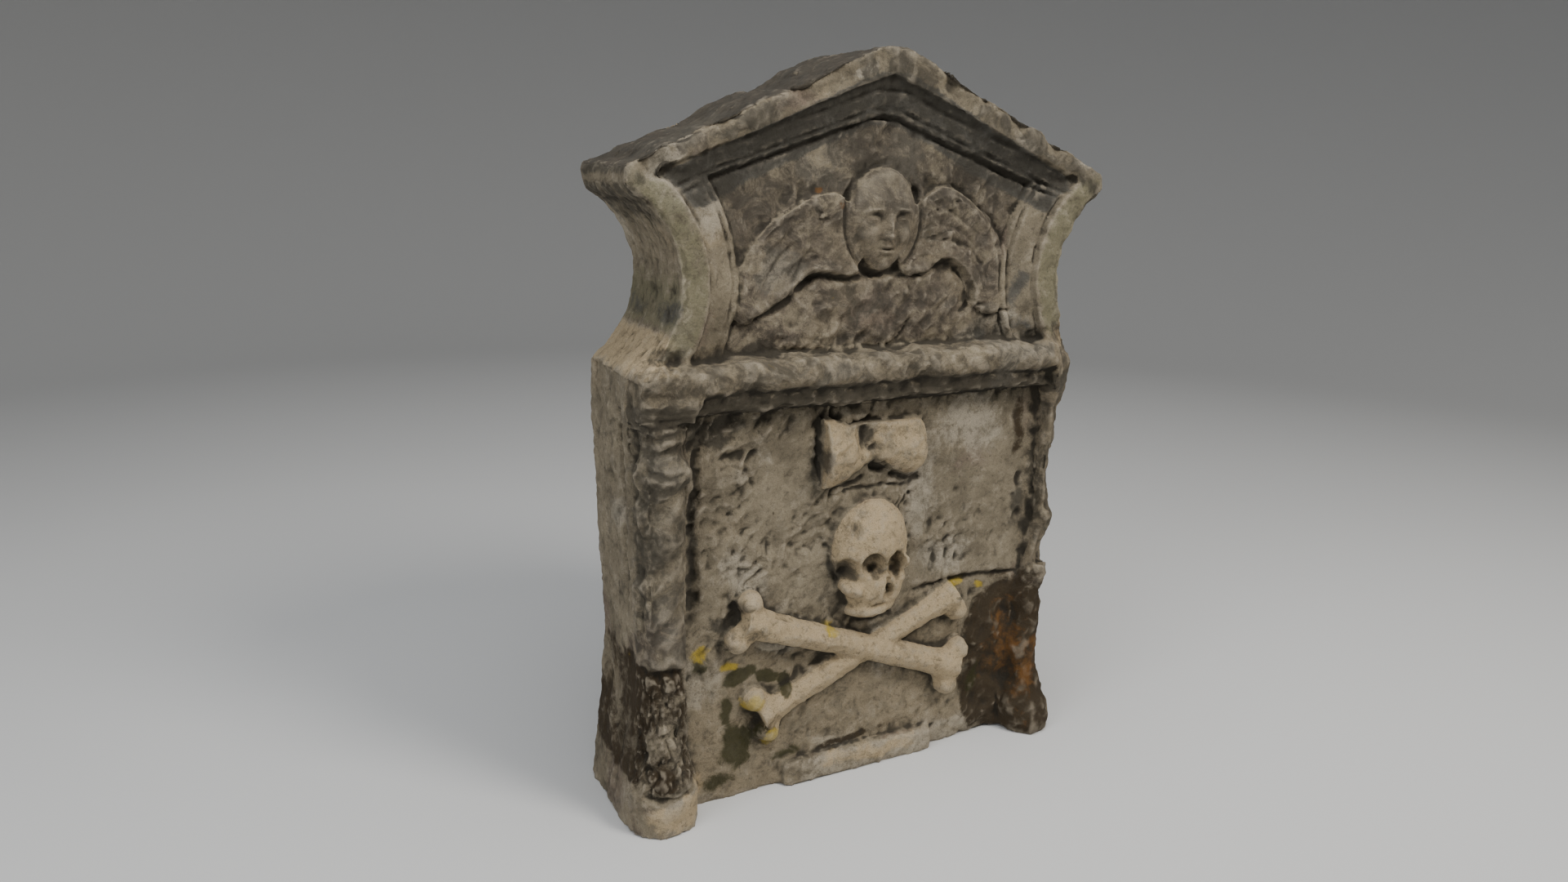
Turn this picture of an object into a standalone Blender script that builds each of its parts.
"""A gabled sandstone headstone with a winged head, an hourglass, a skull and crossed bones.

One carved block: a slab with coved shoulders under a gable, a moulded tympanum, a cornice
on two corner columns, and a sunk panel. Metres, +Z up. The front faces -Y, and the origin
is the middle of the footprint. The right-hand shoulder and column are broken away.
"""
import math

import bmesh
import bpy
from mathutils import Matrix, Vector

# The slab's outline, seen from the front. Its foot and its gable keep the block's whole width,
# and the waist, the shoulders and the coves are set in from that. The cove's centre stands above
# the shelf of the cornice.
BLOCK_HALF = 0.376
BODY_DEPTH = 0.190
WAIST_SET_IN = 0.024
WAIST_Z = 0.230
SHOULDER_SET_IN = 0.011
SHOULDER_HEIGHT = 0.085
COVE_BITE = 0.075
SHELF_Z = 0.660
COVE_RISE = 0.097
COVE_RADIUS = 0.130
GABLE_NOSE = 0.030
GABLE_RISE = 0.1552
APEX_FLAT_HALF = 0.022
OUTER_EDGE_ROUND = 0.007
ARC_STEPS = 9

# The tympanum: a moulded frame that follows the cove and the gable. Its peak sags below the gable's
# own line, and more with each inset.
SIDE_BAND = 0.041
SLOPE_BAND = 0.027
SLOPE_SHARE = 0.72
FRAME_STEP = 0.007
CAVETTO_WIDTH = 0.035
CAVETTO_DEPTH = 0.019
CAVETTO_STEPS = 3
FILLET_WIDTH = 0.011
FILLET_STEP = 0.003
FIELD_DEPTH = 0.031
WINDOW_SAG = 0.015
WINDOW_SAG_GAIN = 0.25

# The cornice below it, and the sunk panel.
CORNICE_OUT = 0.025
CORNICE_ROLL_HEIGHT = 0.043
CORNICE_UNDERCUT = 0.019
CORNICE_FILLET_HEIGHT = 0.011
CORNICE_FILLETS = 3
CORNICE_FILLET_RAKE = 0.25
CORNICE_ROLL_ANGLES = (75, 45, 10, -30, -65)
PANEL_DEPTH = 0.035
SILL_HEIGHT = 0.040
SILL_OUT = 0.016
SILL_LEFT_X = -0.128
SILL_RIGHT_X = 0.138

# The corner columns, measured in from the block's sides. The right-hand one is worn to a ridge:
# each stage of it, from the foot up, gives its shift in x, its height as a share of the way to the
# cornice, and its share of radius.
COLUMN_SET_IN = 0.053
COLUMN_RADIUS = 0.034
COLUMN_TOP_RADIUS = 0.037
COLUMN_NECK_RADIUS = 0.041
COLUMN_NECK_DROP = 0.069
COLUMN_NECK_RING = 0.009
COLUMN_NECK_SPREAD = 0.017
COLUMN_TOP_HEIGHT = 0.012
COLUMN_FLARE = 0.004
COLUMN_FLARE_HEIGHT = 0.022
COLUMN_BASE_RADIUS = 0.052
COLUMN_BASE_HEIGHT = 0.082
COLUMN_BASE_SLOPE = 0.006
COLUMN_BASE_SLOPE_HEIGHT = 0.031
CAPITAL_HALF = 0.043
CAPITAL_STEP = 0.005
CAPITAL_DROP = 0.0015
COLUMN_STEPS = 20
RIGHT_COLUMN = (
    (0.003, -0.05, 1.35),
    (0.003, 0.06, 1.35),
    (-0.003, 0.14, 1.00),
    (-0.009, 0.21, 0.74),
    (-0.008, 0.43, 0.74),
    (0.003, 0.53, 0.68),
    (0.012, 0.63, 0.68),
    (0.014, 0.84, 0.74),
    (0.012, 0.96, 0.82),
    (0.009, 1.04, 1.00),
)
RIGHT_CAPITAL_SHARE = 0.40
FLANK_GROOVE_WIDTH = 0.026
FLANK_GROOVE_DEPTH = 0.017
FLANK_GROOVE_FOOT_Z = 0.262
FLANK_GROOVE_RUN_OUT = 0.050

# The hourglass, lying on its side. Each half's profile gives a share of its radius and a share
# of its half length.
GLASS_X = 0.006
GLASS_DROP = 0.072
GLASS_LENGTH = 0.170
GLASS_END_RADIUS = 0.054
GLASS_FAR_RADIUS = 0.045
GLASS_HOLLOW_RISE = 0.008
GLASS_RELIEF = 0.036
GLASS_FAR_PROFILE = ((0.84, 1.0), (1.0, 0.86), (0.97, 0.62), (0.72, 0.30), (0.45, 0.04))
GLASS_NEAR_PROFILE = ((0.41, 0.10), (0.62, 0.30), (0.86, 0.56), (0.97, 0.84), (1.0, 1.0))
GLASS_BACK_REACH = 0.91
GLASS_BACK_OUT = 0.020
GLASS_STEPS = 24

# The skull, turned a little to its left.
SKULL_X = -0.002
SKULL_DROP = 0.146
SKULL_HALF_WIDTH = 0.074
SKULL_HALF_HEIGHT = 0.072
SKULL_RELIEF = 0.046
SOCKET_RADIUS = 0.021

# The crossed bones, each with knuckles at both ends. Their ends are (x, z) from the crossing's
# level, and a bone's shape is a share of its radius at each share of its length.
BONES_DROP = 0.165
BONE_RADIUS = 0.0215
KNUCKLE_RADIUS = 0.0195
KNUCKLE_SPREAD = 0.029
UPPER_BONE_ENDS = ((-0.203, 0.082), (0.172, -0.062))
LOWER_BONE_ENDS = ((-0.170, -0.075), (0.168, 0.061))
UPPER_BONE_OUT = 0.009
LOWER_BONE_OUT = 0.001
KNUCKLE_BACK = 0.004
KNUCKLE_ARM = 0.026
BONE_SHAPE = (
    (0.0, 1.40),
    (0.05, 1.22),
    (0.14, 1.02),
    (0.50, 0.96),
    (0.86, 1.02),
    (0.95, 1.22),
    (1.0, 1.40),
)

# The winged head in the tympanum. Heights in its outlines are measured from the shelf.
HEAD_X = 0.004
HEAD_RISE = 0.178
HEAD_HALF_WIDTH = 0.056
HEAD_HALF_HEIGHT = 0.070
HEAD_RELIEF = 0.027
HEAD_TAPER = 0.26
HEAD_TAPER_POWER = 1.5
EYE_WIDTH = HEAD_HALF_WIDTH * 2 / 5
EYE_HOLLOW = 0.0065
EYE_SWELL = 0.0050
NOSE_OUT = 0.0045
NOSE_SWELL = 0.008
LIP_OUT = 0.0015
LIP_SWELL = 0.006
CHIN_BACK = 0.010
CHIN_SWELL = 0.012
WING_THICKNESS = 0.009
FEATHER_RADIUS = 0.0075
FEATHER_OUT = 0.004
FEATHERS = 6
FEATHER_SHAPE = (0.7, 1.0, 1.05, 0.95, 0.7)
LEFT_WING_TOP = (
    (-0.050, 0.200),
    (-0.085, 0.210),
    (-0.137, 0.190),
    (-0.187, 0.152),
    (-0.216, 0.092),
    (-0.211, 0.043),
)
LEFT_WING_FOOT = (
    (-0.035, 0.108),
    (-0.075, 0.106),
    (-0.112, 0.104),
    (-0.140, 0.078),
    (-0.172, 0.059),
    (-0.202, 0.040),
)
RIGHT_WING_TOP = (
    (0.048, 0.180),
    (0.082, 0.214),
    (0.128, 0.218),
    (0.178, 0.182),
    (0.216, 0.124),
    (0.228, 0.050),
)
RIGHT_WING_FOOT = (
    (0.040, 0.104),
    (0.075, 0.106),
    (0.113, 0.117),
    (0.142, 0.102),
    (0.154, 0.078),
    (0.162, 0.056),
)
SWELL_OUTLINE = (
    (-0.185, 0.030),
    (-0.110, 0.088),
    (-0.030, 0.092),
    (0.045, 0.092),
    (0.040, 0.016),
    (-0.090, 0.008),
)
SWELL_OUT = 0.004
LOBE_CENTRE = (0.100, 0.060)
LOBE_RADII = (0.050, 0.008, 0.050)

# The break that took the right-hand shoulder and column. Each point of its front edge, from the
# foot up, gives its height as a share of the shelf's and how far in from the shoulder it lies.
BREAK_EDGE = (
    (0.442, 0.063),
    (0.500, 0.062),
    (0.583, 0.052),
    (0.758, 0.052),
    (0.856, 0.046),
    (0.985, 0.044),
    (1.045, 0.057),
    (1.114, 0.020),
)
BREAK_TURN = math.radians(48)
BREAK_WANDER = math.radians(5)
BREAK_WANDER_STEP = 2.1
BREAK_REACH = 0.300

EDGE_ROUND = 0.004
BURY = 0.020
OVERCUT = 0.060
GROUND_ALLOWANCE = 0.030
STONE_COLOUR = (0.33, 0.30, 0.25, 1.0)
STONE_ROUGHNESS = 0.95

# Places that follow from the sizes above.
WAIST_HALF = BLOCK_HALF - WAIST_SET_IN
SHOULDER_HALF = BLOCK_HALF - SHOULDER_SET_IN
NECK_HALF = BLOCK_HALF - COVE_BITE
COLUMN_X = BLOCK_HALF - COLUMN_SET_IN
CORNICE_DROP = CORNICE_ROLL_HEIGHT + CORNICE_FILLETS * CORNICE_FILLET_HEIGHT
CORNICE_FOOT_Z = SHELF_Z - CORNICE_DROP
BACK_Y = (BODY_DEPTH + CORNICE_OUT) / 2
FRAME_Y = BACK_Y - BODY_DEPTH
FIELD_Y = FRAME_Y + FIELD_DEPTH
PANEL_Y = FRAME_Y + PANEL_DEPTH
COVE_X = NECK_HALF + COVE_RADIUS
COVE_Z = SHELF_Z + COVE_RISE
SHOULDER_Z = COVE_Z - math.sqrt(COVE_RADIUS**2 - (COVE_X - SHOULDER_HALF) ** 2)
GABLE_UNDER_Z = COVE_Z + math.sqrt(COVE_RADIUS**2 - (COVE_X - BLOCK_HALF) ** 2)
GABLE_END_Z = GABLE_UNDER_Z + GABLE_NOSE
APEX_Z = GABLE_END_Z + GABLE_RISE
GABLE_SLOPE = math.atan2(GABLE_RISE, BLOCK_HALF - APEX_FLAT_HALF)
COLUMN_Y = FRAME_Y - CORNICE_OUT + COLUMN_BASE_RADIUS
GLASS_Z = CORNICE_FOOT_Z - GLASS_DROP
SKULL_Z = GLASS_Z - SKULL_DROP
BONES_Z = SKULL_Z - BONES_DROP
HEAD_Z = SHELF_Z + HEAD_RISE


def clear_scene():
    for item in list(bpy.data.objects):
        bpy.data.objects.remove(item)


def collection(name):
    made = bpy.data.collections.new(name)
    bpy.context.scene.collection.children.link(made)
    return made


def add_mesh(name, bm):
    """Turns a bmesh into an object with its faces pointing out."""
    bmesh.ops.recalc_face_normals(bm, faces=bm.faces)
    mesh = bpy.data.meshes.new(name)
    bm.to_mesh(mesh)
    bm.free()
    made = bpy.data.objects.new(name, mesh)
    bpy.context.scene.collection.objects.link(made)
    return made


def settled(item):
    """The item as a plain welded mesh object in world space, with its modifiers and curve settled."""
    bpy.context.view_layer.update()
    evaluated = item.evaluated_get(bpy.context.evaluated_depsgraph_get())
    mesh = bpy.data.meshes.new_from_object(evaluated)
    mesh.transform(item.matrix_world)
    bm = bmesh.new()
    bm.from_mesh(mesh)
    bmesh.ops.remove_doubles(bm, verts=bm.verts, dist=0.00002)
    name = item.name
    bpy.data.objects.remove(item)
    bpy.data.meshes.remove(mesh)
    return add_mesh(name, bm)


def rounded(item, width, segments=2, angle=35):
    bevel = item.modifiers.new("edge", "BEVEL")
    bevel.width = width
    bevel.segments = segments
    bevel.limit_method = "ANGLE"
    bevel.angle_limit = math.radians(angle)
    return settled(item)


def cut_or_join(target, tool, operation, solver="EXACT"):
    """Cuts the tool from the target, or joins it, and removes the tool.

    Where the exact solver leaves open edges, the manifold one joins the closed solids.
    """
    boolean = target.modifiers.new(tool.name, "BOOLEAN")
    boolean.operation = operation
    boolean.solver = solver
    boolean.object = tool
    joined = settled(target)
    bpy.data.objects.remove(tool)
    return joined


def prism(name, outline, front_y, back_y, smooth=False, steps=4):
    """A flat outline of (x, z) points, filled and thickened from front_y to back_y."""
    curve = bpy.data.curves.new(name, "CURVE")
    curve.dimensions = "2D"
    curve.fill_mode = "BOTH"
    curve.extrude = (back_y - front_y) / 2
    curve.resolution_u = steps
    spline = curve.splines.new("BEZIER" if smooth else "POLY")
    points = spline.bezier_points if smooth else spline.points
    points.add(len(outline) - 1)
    for point, (x, z) in zip(points, outline):
        point.co = (x, z, 0) if smooth else (x, z, 0, 1)
        if smooth:
            point.handle_left_type = "AUTO"
            point.handle_right_type = "AUTO"
    spline.use_cyclic_u = True
    made = bpy.data.objects.new(name, curve)
    bpy.context.scene.collection.objects.link(made)
    made.location.y = (front_y + back_y) / 2
    made.rotation_euler.x = math.pi / 2
    return settled(made)


def loft(name, rings):
    """A solid through rings of equally many points, closed at both ends."""
    bm = bmesh.new()
    rows = [[bm.verts.new(point) for point in ring] for ring in rings]
    count = len(rows[0])
    for low, high in zip(rows, rows[1:]):
        for i in range(count):
            j = (i + 1) % count
            bm.faces.new((low[i], low[j], high[j], high[i]))
    bm.faces.new(rows[0])
    bm.faces.new(rows[-1])
    return add_mesh(name, bm)


def ball(name, centre, radii, turn=0.0, segments=20, rings=12):
    """An ellipsoid with radii along X, Y and Z, turned about the Y axis."""
    bm = bmesh.new()
    bmesh.ops.create_uvsphere(bm, u_segments=segments, v_segments=rings, radius=1.0)
    place = Matrix.Translation(centre) @ Matrix.Rotation(turn, 4, "Y") @ Matrix.Diagonal((*radii, 1.0))
    bmesh.ops.transform(bm, matrix=place, verts=bm.verts)
    return add_mesh(name, bm)


def block(name, low, high, turn=0.0, axis="Z", about=(0, 0, 0)):
    """A box between two corners, turned about an axis through a point."""
    bm = bmesh.new()
    bmesh.ops.create_cube(bm, size=1.0)
    low = Vector(low)
    high = Vector(high)
    place = Matrix.Translation((low + high) / 2) @ Matrix.Diagonal((*(high - low), 1.0))
    swing = Matrix.Translation(about) @ Matrix.Rotation(turn, 4, axis) @ Matrix.Translation(-Vector(about))
    bmesh.ops.transform(bm, matrix=swing @ place, verts=bm.verts)
    return add_mesh(name, bm)


def turned(name, profile, steps):
    """A turned solid about its own Z axis, from (radius, z) points given from the top down."""
    bm = bmesh.new()
    points = [bm.verts.new((radius, 0, z)) for radius, z in profile]
    for upper, lower in zip(points, points[1:]):
        bm.edges.new((upper, lower))
    mesh = bpy.data.meshes.new(name)
    bm.to_mesh(mesh)
    bm.free()
    made = bpy.data.objects.new(name, mesh)
    bpy.context.scene.collection.objects.link(made)
    screw = made.modifiers.new("turn", "SCREW")
    screw.steps = steps
    screw.render_steps = steps
    screw.use_merge_vertices = True
    screw.merge_threshold = 0.0001
    return made


def tube(name, points, radius, shares, resolution=2):
    """A round bar along points, whose radius at each point is a share of the given one."""
    curve = bpy.data.curves.new(name, "CURVE")
    curve.dimensions = "3D"
    curve.bevel_depth = radius
    curve.bevel_resolution = resolution
    curve.use_fill_caps = True
    spline = curve.splines.new("POLY")
    spline.points.add(len(points) - 1)
    for point, place, share in zip(spline.points, points, shares):
        point.co = (*place, 1)
        point.radius = share
    made = bpy.data.objects.new(name, curve)
    bpy.context.scene.collection.objects.link(made)
    return settled(made)


def arc(radius, low_angle, high_angle, steps=ARC_STEPS):
    """Points of the right-hand cove, from low_angle to high_angle about its centre."""
    angles = [low_angle + (high_angle - low_angle) * i / steps for i in range(steps + 1)]
    return [(COVE_X - radius * math.cos(a), COVE_Z + radius * math.sin(a)) for a in angles]


def mirrored(right_half):
    """A closed outline from its right half, which runs from the bottom to the top."""
    return right_half + [(-x, z) for x, z in reversed(right_half) if abs(x) > 1e-6]


def body_outline():
    low = -math.acos((COVE_X - SHOULDER_HALF) / COVE_RADIUS)
    high = math.acos((COVE_X - BLOCK_HALF) / COVE_RADIUS)
    foot = [(BLOCK_HALF, -GROUND_ALLOWANCE / 2), (BLOCK_HALF, 0.0)]
    flank = foot + [(WAIST_HALF, WAIST_Z), (SHOULDER_HALF, SHOULDER_Z - SHOULDER_HEIGHT)]
    top = [(BLOCK_HALF, GABLE_END_Z), (APEX_FLAT_HALF, APEX_Z)]
    return mirrored(flank + arc(COVE_RADIUS, low, high) + top)


def window_ring(inset, y):
    """The tympanum's outline at an inset from the frame's inner edge, standing at depth y.

    Its side is an arc about the cove's centre, from the shelf up to where it meets the slope.
    """
    radius = COVE_RADIUS + SIDE_BAND + inset
    drop = (SLOPE_BAND + SLOPE_SHARE * inset) / math.cos(GABLE_SLOPE)
    top_z = APEX_Z + APEX_FLAT_HALF * math.tan(GABLE_SLOPE) - drop
    low = -math.asin((COVE_Z - SHELF_Z) / radius)
    reach = top_z - COVE_Z - COVE_X * math.tan(GABLE_SLOPE)
    high = GABLE_SLOPE + math.asin(reach * math.cos(GABLE_SLOPE) / radius)
    peak_z = top_z - WINDOW_SAG - WINDOW_SAG_GAIN * inset
    half = arc(radius, low, high) + [(0.0, peak_z)]
    return [(x, y, z) for x, z in mirrored(half)]


def tympanum_cutter():
    """The moulded hollow of the tympanum: a step, a cavetto, a fillet and the field."""
    cavetto_y = FRAME_Y + CAVETTO_DEPTH
    rings = [window_ring(0.0, FRAME_Y - OVERCUT), window_ring(0.0, FRAME_Y + FRAME_STEP)]
    for i in range(1, CAVETTO_STEPS + 1):
        share = i / CAVETTO_STEPS
        y = FRAME_Y + FRAME_STEP + (CAVETTO_DEPTH - FRAME_STEP) * math.sin(share * math.pi / 2)
        rings.append(window_ring(CAVETTO_WIDTH * share, y))
    inner = CAVETTO_WIDTH + FILLET_WIDTH
    rings.append(window_ring(CAVETTO_WIDTH + FILLET_STEP, cavetto_y + FILLET_STEP))
    rings.append(window_ring(inner, cavetto_y + FILLET_STEP * 1.5))
    rings.append(window_ring(inner + FILLET_STEP, FIELD_Y))
    return loft("tympanum_hollow", rings)


def cornice():
    """The cornice: a heavy roll over receding fillets, run along the front."""
    nose_y = FRAME_Y - CORNICE_OUT
    back_y = PANEL_Y + BURY
    roll_foot_z = SHELF_Z - CORNICE_ROLL_HEIGHT
    section = [(back_y, SHELF_Z)]
    for degrees in CORNICE_ROLL_ANGLES:
        swing = math.radians(degrees)
        y = nose_y + CORNICE_ROLL_HEIGHT / 2 * (1 - math.cos(swing))
        z = SHELF_Z - CORNICE_ROLL_HEIGHT / 2 * (1 - math.sin(swing))
        section.append((y, z))
    start_y = nose_y + CORNICE_UNDERCUT
    run = (PANEL_Y - start_y) / CORNICE_FILLETS
    for i in range(CORNICE_FILLETS):
        z = roll_foot_z - CORNICE_FILLET_HEIGHT * i
        section.append((start_y + run * i, z))
        section.append((start_y + run * (i + CORNICE_FILLET_RAKE), z - CORNICE_FILLET_HEIGHT))
    section.append((back_y, CORNICE_FOOT_Z))
    half = BLOCK_HALF + OVERCUT / 2
    return loft("cornice", [[(x, y, z) for y, z in section] for x in (-half, half)])


def left_column():
    """The whole corner column, with its base drum and neck ring."""
    base = COLUMN_BASE_HEIGHT
    neck_z = CORNICE_FOOT_Z - COLUMN_NECK_DROP
    ring = COLUMN_NECK_RING / 2
    profile = [
        (0.0, CORNICE_FOOT_Z + BURY),
        (COLUMN_TOP_RADIUS, CORNICE_FOOT_Z + BURY),
        (COLUMN_TOP_RADIUS, CORNICE_FOOT_Z - COLUMN_TOP_HEIGHT),
        (COLUMN_RADIUS, neck_z + ring + COLUMN_NECK_SPREAD),
        (COLUMN_NECK_RADIUS, neck_z + ring),
        (COLUMN_NECK_RADIUS, neck_z - ring),
        (COLUMN_RADIUS, neck_z - ring - COLUMN_NECK_SPREAD),
        (COLUMN_RADIUS, WAIST_Z),
        (COLUMN_RADIUS + COLUMN_FLARE, base + COLUMN_FLARE_HEIGHT),
        (COLUMN_BASE_RADIUS - COLUMN_BASE_SLOPE, base),
        (COLUMN_BASE_RADIUS, base - COLUMN_BASE_SLOPE_HEIGHT),
        (COLUMN_BASE_RADIUS, -GROUND_ALLOWANCE),
        (0.0, -GROUND_ALLOWANCE),
    ]
    shaft = turned("column", profile, COLUMN_STEPS)
    shaft.location = (-COLUMN_X, COLUMN_Y, 0)
    shaft.rotation_euler.z = math.pi / COLUMN_STEPS
    return settled(shaft)


def right_column():
    """What is left of the other corner column: a worn ridge on a worn base."""
    points = [(COLUMN_X + shift, COLUMN_Y, CORNICE_FOOT_Z * rise) for shift, rise, share in RIGHT_COLUMN]
    shares = [share for shift, rise, share in RIGHT_COLUMN]
    return tube("right_column", points, COLUMN_RADIUS, shares, 3)


def capital(side, share):
    """The stepped capital of a corner column, which runs out through the flank to be cut flush."""
    steps = []
    for i in range(CORNICE_FILLETS):
        half = (CAPITAL_HALF - CAPITAL_STEP * i / 2) * share
        front_y = FRAME_Y - CORNICE_OUT + CAPITAL_STEP * (i + 1)
        top_z = SHELF_Z - CORNICE_ROLL_HEIGHT - CORNICE_FILLET_HEIGHT * i - CAPITAL_DROP
        inner_x = side * (COLUMN_X - half)
        outer_x = side * (BLOCK_HALF + OVERCUT / (i + 3))
        low = (min(inner_x, outer_x), front_y, top_z - CORNICE_FILLET_HEIGHT)
        high = (max(inner_x, outer_x), PANEL_Y + BURY * 0.8, top_z + CORNICE_FILLET_HEIGHT / 2)
        steps.append(rounded(block("capital_step", low, high), CAPITAL_STEP / 4, 1))
    return steps


def flank_groove():
    """The upright hollow behind the left-hand column, shallower towards its foot.

    Each stage gives its height and its shares of the groove's depth and width.
    """
    outer = -BLOCK_HALF - OVERCUT
    inner = -SHOULDER_HALF + FLANK_GROOVE_DEPTH
    middle_y = COLUMN_Y + COLUMN_RADIUS + FLANK_GROOVE_WIDTH / 4
    rings = []
    for z, depth_share, width_share in (
        (FLANK_GROOVE_FOOT_Z, -0.2, 0.3),
        (FLANK_GROOVE_FOOT_Z + FLANK_GROOVE_RUN_OUT, 0.75, 0.8),
        (SHOULDER_Z - SHOULDER_HEIGHT * 1.35, 1.0, 1.0),
        (CORNICE_FOOT_Z + CORNICE_FILLET_HEIGHT, 0.4, 0.6),
    ):
        x = inner - FLANK_GROOVE_DEPTH * (1 - depth_share)
        half = FLANK_GROOVE_WIDTH / 2 * width_share
        soft = half * 0.6
        near = [(outer, middle_y - half, z), (x - soft, middle_y - half, z), (x, middle_y - half + soft, z)]
        far = [(x, middle_y + half - soft, z), (x - soft, middle_y + half, z), (outer, middle_y + half, z)]
        rings.append(near + far)
    return loft("flank_groove", rings)


def build_block():
    """The slab with its tympanum, cornice, sunk panel and columns."""
    rough_half = BLOCK_HALF + OVERCUT
    rough_low = (-rough_half, FRAME_Y, -OVERCUT)
    rough_high = (rough_half, BACK_Y + OVERCUT, APEX_Z + OVERCUT)
    stone = block("headstone", rough_low, rough_high)
    panel_low = (-rough_half - OVERCUT, FRAME_Y - OVERCUT, -OVERCUT * 2)
    panel_high = (rough_half + OVERCUT, PANEL_Y, CORNICE_FOOT_Z + CORNICE_FILLET_HEIGHT / 2)
    stone = cut_or_join(stone, block("panel_hollow", panel_low, panel_high), "DIFFERENCE")
    stone = cut_or_join(stone, tympanum_cutter(), "DIFFERENCE")
    stone = cut_or_join(stone, cornice(), "UNION")
    for piece in capital(-1, 1.0) + capital(1, RIGHT_CAPITAL_SHARE):
        stone = cut_or_join(stone, piece, "UNION")
    front_y = FRAME_Y - CORNICE_OUT - OVERCUT
    outline = rounded(prism("outline", body_outline(), front_y, BACK_Y), OUTER_EDGE_ROUND)
    stone = cut_or_join(stone, outline, "INTERSECT")
    stone = cut_or_join(stone, flank_groove(), "DIFFERENCE", "MANIFOLD")
    for piece in (left_column(), right_column()):
        stone = cut_or_join(stone, piece, "UNION", "MANIFOLD")
    sill_low = (SILL_LEFT_X, PANEL_Y - SILL_OUT, -GROUND_ALLOWANCE)
    sill_high = (SILL_RIGHT_X, PANEL_Y + BURY, SILL_HEIGHT)
    sill = rounded(block("sill", sill_low, sill_high), EDGE_ROUND, 1)
    return cut_or_join(stone, sill, "UNION", "MANIFOLD")


def ground():
    """What is cut away below the ground, so that the stone stands on a flat underside."""
    low = (-BLOCK_HALF - OVERCUT, FRAME_Y - 2 * OVERCUT, -2 * OVERCUT)
    high = (BLOCK_HALF + OVERCUT, BACK_Y + OVERCUT, 0.0)
    return block("ground", low, high)


def hourglass():
    """An hourglass lying along X: two bulbs between flat ends, with a hollow over its waist."""
    half = GLASS_LENGTH / 2
    profile = [(0.0, half)]
    profile += [(GLASS_FAR_RADIUS * share, half * along) for share, along in GLASS_FAR_PROFILE]
    profile += [(GLASS_END_RADIUS * share, -half * along) for share, along in GLASS_NEAR_PROFILE]
    profile.append((0.0, -half))
    glass = turned("hourglass", profile, GLASS_STEPS)
    glass.rotation_euler = (0, math.pi / 2, 0)
    glass.scale = (1.0, GLASS_RELIEF / GLASS_END_RADIUS, 1.0)
    glass.location = (GLASS_X, PANEL_Y, GLASS_Z)
    glass = settled(glass)
    high_z = GLASS_Z + GLASS_FAR_RADIUS - EDGE_ROUND
    backing_low = (GLASS_X - half * GLASS_BACK_REACH, PANEL_Y - GLASS_BACK_OUT, GLASS_Z + GLASS_HOLLOW_RISE)
    backing_high = (GLASS_X + half * GLASS_BACK_REACH, PANEL_Y + BURY, high_z)
    backing = rounded(block("glass_back", backing_low, backing_high), EDGE_ROUND)
    return [glass, backing]


def on_skull(across, above, out, name, radii, turn=0.0, segments=16, rings=10):
    """A ball placed on the skull, with its place and radii as shares of the skull's sizes."""
    sizes = (SKULL_HALF_WIDTH, SKULL_RELIEF, SKULL_HALF_HEIGHT)
    centre = (SKULL_X + across * sizes[0], PANEL_Y - out * sizes[1], SKULL_Z + above * sizes[2])
    scaled = [share * size for share, size in zip(radii, sizes)]
    return ball(name, centre, scaled, math.radians(turn), segments, rings)


def skull_solids():
    """The skull's cranium, brow, cheeks and upper jaw."""
    return [
        on_skull(0.12, 0.00, 0.00, "cranium", (0.88, 1.00, 1.00), 8, 24, 14),
        on_skull(0.24, -0.86, 0.00, "face", (0.70, 0.92, 0.66), 0, 20, 12),
        on_skull(0.42, -0.34, 0.52, "brow", (0.54, 0.46, 0.24), 4),
        on_skull(-0.28, -0.86, 0.30, "cheek", (0.34, 0.52, 0.20), 24),
        on_skull(0.66, -0.72, 0.24, "far_cheek", (0.26, 0.50, 0.22), -14),
        on_skull(0.18, -1.30, 0.00, "jaw", (0.62, 0.84, 0.26), -7, 20, 10),
    ]


def skull_hollows():
    """The two eye sockets, the hollow of the temple, the nose and the line of the teeth."""
    socket = SOCKET_RADIUS / SKULL_HALF_WIDTH
    return [
        on_skull(-0.02, -0.30, 0.98, "socket", (socket, 0.56, socket * 1.02)),
        on_skull(0.54, -0.35, 0.84, "socket", (socket * 0.88, 0.56, socket * 1.06)),
        on_skull(-0.57, -0.40, 0.80, "temple", (socket * 1.05, 0.62, socket * 1.06), 14),
        on_skull(0.40, -0.98, 0.98, "nose_hole", (socket * 0.48, 0.40, socket * 0.72)),
        on_skull(0.18, -1.16, 0.90, "teeth_line", (0.60, 0.16, 0.030), -7, 16, 6),
    ]


def bone(name, ends, out, whole_far_end=True):
    """A long bone with two knuckles at each end, lying on the panel."""
    start = Vector((ends[0][0], PANEL_Y - out, BONES_Z + ends[0][1]))
    end = Vector((ends[1][0], PANEL_Y - out, BONES_Z + ends[1][1]))
    along = (end - start).normalized()
    across = Vector((-along.z, 0, along.x))
    points = [start.lerp(end, station) for station, share in BONE_SHAPE]
    pieces = [tube(name, points, BONE_RADIUS, [share for station, share in BONE_SHAPE])]
    for place, outward in ((start, -1), (end, 1)):
        for side in (-1, 1):
            if outward > 0 and side > 0 and not whole_far_end:
                continue
            centre = place + across * side * KNUCKLE_SPREAD - along * outward * KNUCKLE_BACK
            radii = (KNUCKLE_RADIUS, BONE_RADIUS + EDGE_ROUND / 2, KNUCKLE_RADIUS)
            pieces.append(ball("knuckle", centre, radii, 0.0, 16, 10))
            arm = [place - along * outward * KNUCKLE_ARM, centre]
            pieces.append(tube("knuckle_arm", arm, KNUCKLE_RADIUS, (1.0, 0.95)))
    return pieces


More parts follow.
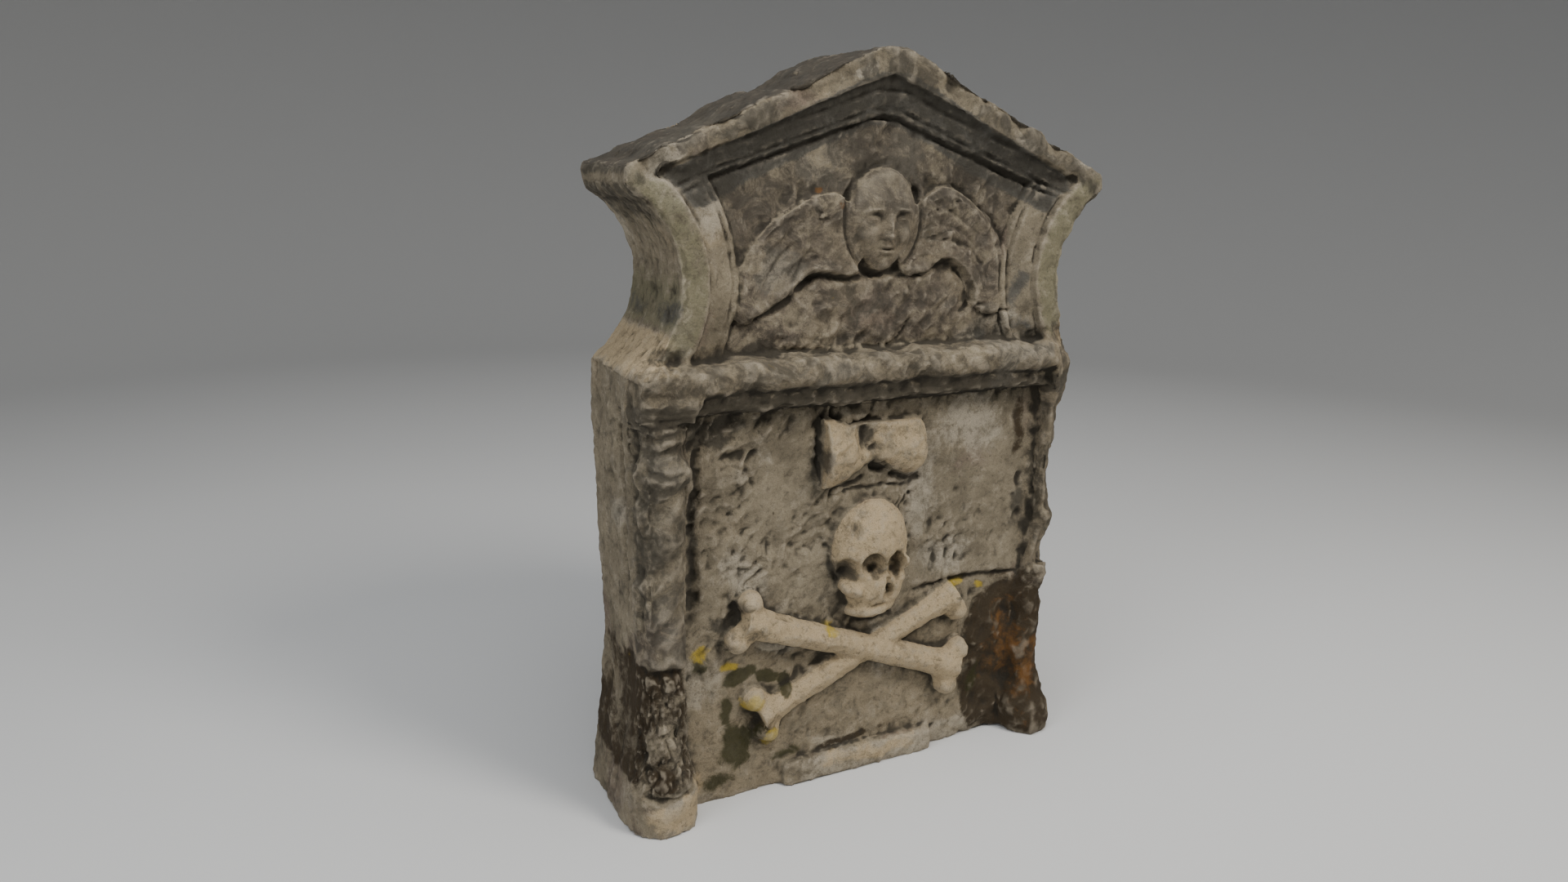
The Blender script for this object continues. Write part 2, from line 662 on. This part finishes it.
def head_taper(above):
    """How much narrower the head is below its middle."""
    return 1.0 - HEAD_TAPER * max(0.0, -above) ** HEAD_TAPER_POWER


def head():
    """The head: a plain oval, narrower towards the chin."""
    bm = bmesh.new()
    bmesh.ops.create_uvsphere(bm, u_segments=24, v_segments=16, radius=1.0)
    for vert in bm.verts:
        vert.co.x *= head_taper(vert.co.z)
    radii = (HEAD_HALF_WIDTH, HEAD_RELIEF, HEAD_HALF_HEIGHT)
    place = Matrix.Translation((HEAD_X, FIELD_Y, HEAD_Z)) @ Matrix.Diagonal((*radii, 1.0))
    bmesh.ops.transform(bm, matrix=place, verts=bm.verts)
    return add_mesh("head", bm)


def on_head(name, across, above, out, radii):
    """A small ball on the head: across in eye widths, above in half heights, out from the oval."""
    x = across * EYE_WIDTH
    z = above * HEAD_HALF_HEIGHT
    half_width = HEAD_HALF_WIDTH * head_taper(above)
    surface = math.sqrt(max(0.0, 1 - (x / half_width) ** 2 - above**2))
    centre = (HEAD_X + x, FIELD_Y - HEAD_RELIEF * surface - out, HEAD_Z + z)
    return ball(name, centre, radii, 0.0, 12, 8)


def head_features():
    """The eye hollows to cut, and then the eyes, nose, mouth and chin to join.

    The eyes lie at half height, the nose ends halfway from them to the chin, and the mouth
    is a third of the way on from there. The face is five eyes wide.
    """
    eye = EYE_WIDTH / 2
    unit = HEAD_HALF_HEIGHT
    hollow = (eye * 1.25, EYE_HOLLOW, eye * 0.95)
    lid = (eye * 0.86, EYE_SWELL, eye * 0.50)
    nose_out = NOSE_OUT - NOSE_SWELL
    lip_out = LIP_OUT - LIP_SWELL
    hollows = [on_head("eye_hollow", side, 0.02, 0.002, hollow) for side in (-1, 1)]
    solids = [on_head("eye", side, 0.0, -EYE_SWELL, lid) for side in (-1, 1)]
    solids += [
        on_head("nose", 0, -0.24, nose_out, (eye * 0.62, NOSE_SWELL, unit * 0.27)),
        on_head("nose_tip", 0, -0.44, nose_out, (eye * 0.95, NOSE_SWELL, unit * 0.08)),
        on_head("upper_lip", 0, -0.64, lip_out, (eye * 1.55, LIP_SWELL, unit * 0.042)),
        on_head("lower_lip", 0, -0.73, lip_out, (eye * 1.25, LIP_SWELL, unit * 0.048)),
        on_head("chin", 0, -0.88, -CHIN_BACK, (eye * 1.5, CHIN_SWELL, unit * 0.13)),
    ]
    return hollows, solids


def from_shelf(outline):
    return [(x, SHELF_Z + rise) for x, rise in outline]


def wing(name, top, foot):
    """A spread wing: a plate between its two edges, with feather ridges fanned over it."""
    outline = from_shelf(list(top) + list(reversed(foot)))
    plate = prism(name, outline, FIELD_Y - WING_THICKNESS, FIELD_Y + BURY / 2, smooth=True, steps=3)
    pieces = [plate]
    for i in range(FEATHERS):
        share = (i + 0.5) / FEATHERS
        path = [Vector(a).lerp(Vector(b), share) for a, b in zip(from_shelf(top), from_shelf(foot))]
        points = [(p.x, FIELD_Y - FEATHER_OUT, p.y) for p in path[:-1]]
        pieces.append(tube("feather", points, FEATHER_RADIUS, FEATHER_SHAPE, 1))
    return pieces


def tympanum_ground():
    """The low swell of stone under the wings, and the rounded lobe to its right."""
    outline = from_shelf(SWELL_OUTLINE)
    plate = prism("swell", outline, FIELD_Y - SWELL_OUT, FIELD_Y + BURY / 2, smooth=True, steps=3)
    lobe_x, lobe_rise = LOBE_CENTRE
    lobe = ball("lobe", (lobe_x, FIELD_Y, SHELF_Z + lobe_rise), LOBE_RADII, 0.0, 16, 8)
    return [plate, lobe]


def broken_edge():
    """What the break took: all beyond a slanting, uneven face that rises from its front edge."""
    rings = []
    for i, (rise, inset) in enumerate(BREAK_EDGE):
        turn = BREAK_TURN + BREAK_WANDER * math.sin(BREAK_WANDER_STEP * i)
        along = Vector((math.sin(turn), math.cos(turn), 0))
        edge = Vector((SHOULDER_HALF - inset, FRAME_Y, SHELF_Z * rise))
        near = edge - along * OVERCUT
        far = edge + along * BREAK_REACH
        out = Vector((BREAK_REACH, 0, 0))
        rings.append([near, far, far + out, near + out])
    cutter = loft("break", rings)
    bm = bmesh.new()
    bm.from_mesh(cutter.data)
    bmesh.ops.triangulate(bm, faces=bm.faces)
    bm.to_mesh(cutter.data)
    bm.free()
    return cutter


def stone_material():
    stone = bpy.data.materials.new("weathered_sandstone")
    stone.use_nodes = True
    shader = stone.node_tree.nodes["Principled BSDF"]
    shader.inputs["Base Color"].default_value = STONE_COLOUR
    shader.inputs["Roughness"].default_value = STONE_ROUGHNESS
    return stone


def main():
    clear_scene()
    gravestone = collection("gravestone")
    stone = build_block()
    stone = cut_or_join(stone, broken_edge(), "DIFFERENCE", "MANIFOLD")
    joined = hourglass() + skull_solids() + bone("lower_bone", LOWER_BONE_ENDS, LOWER_BONE_OUT, False)
    joined += bone("upper_bone", UPPER_BONE_ENDS, UPPER_BONE_OUT) + tympanum_ground()
    joined += wing("left_wing", LEFT_WING_TOP, LEFT_WING_FOOT)
    joined += wing("right_wing", RIGHT_WING_TOP, RIGHT_WING_FOOT)
    for piece in joined + [head()]:
        stone = cut_or_join(stone, piece, "UNION", "MANIFOLD")
    eye_hollows, features = head_features()
    for hollow in skull_hollows() + eye_hollows + [ground()]:
        stone = cut_or_join(stone, hollow, "DIFFERENCE", "MANIFOLD")
    for piece in features:
        stone = cut_or_join(stone, piece, "UNION", "MANIFOLD")
    stone.name = "headstone"
    stone.data.materials.append(stone_material())
    stone.data.shade_smooth()
    stone.data.set_sharp_from_angle(angle=math.radians(30))
    bpy.context.scene.collection.objects.unlink(stone)
    gravestone.objects.link(stone)


main()
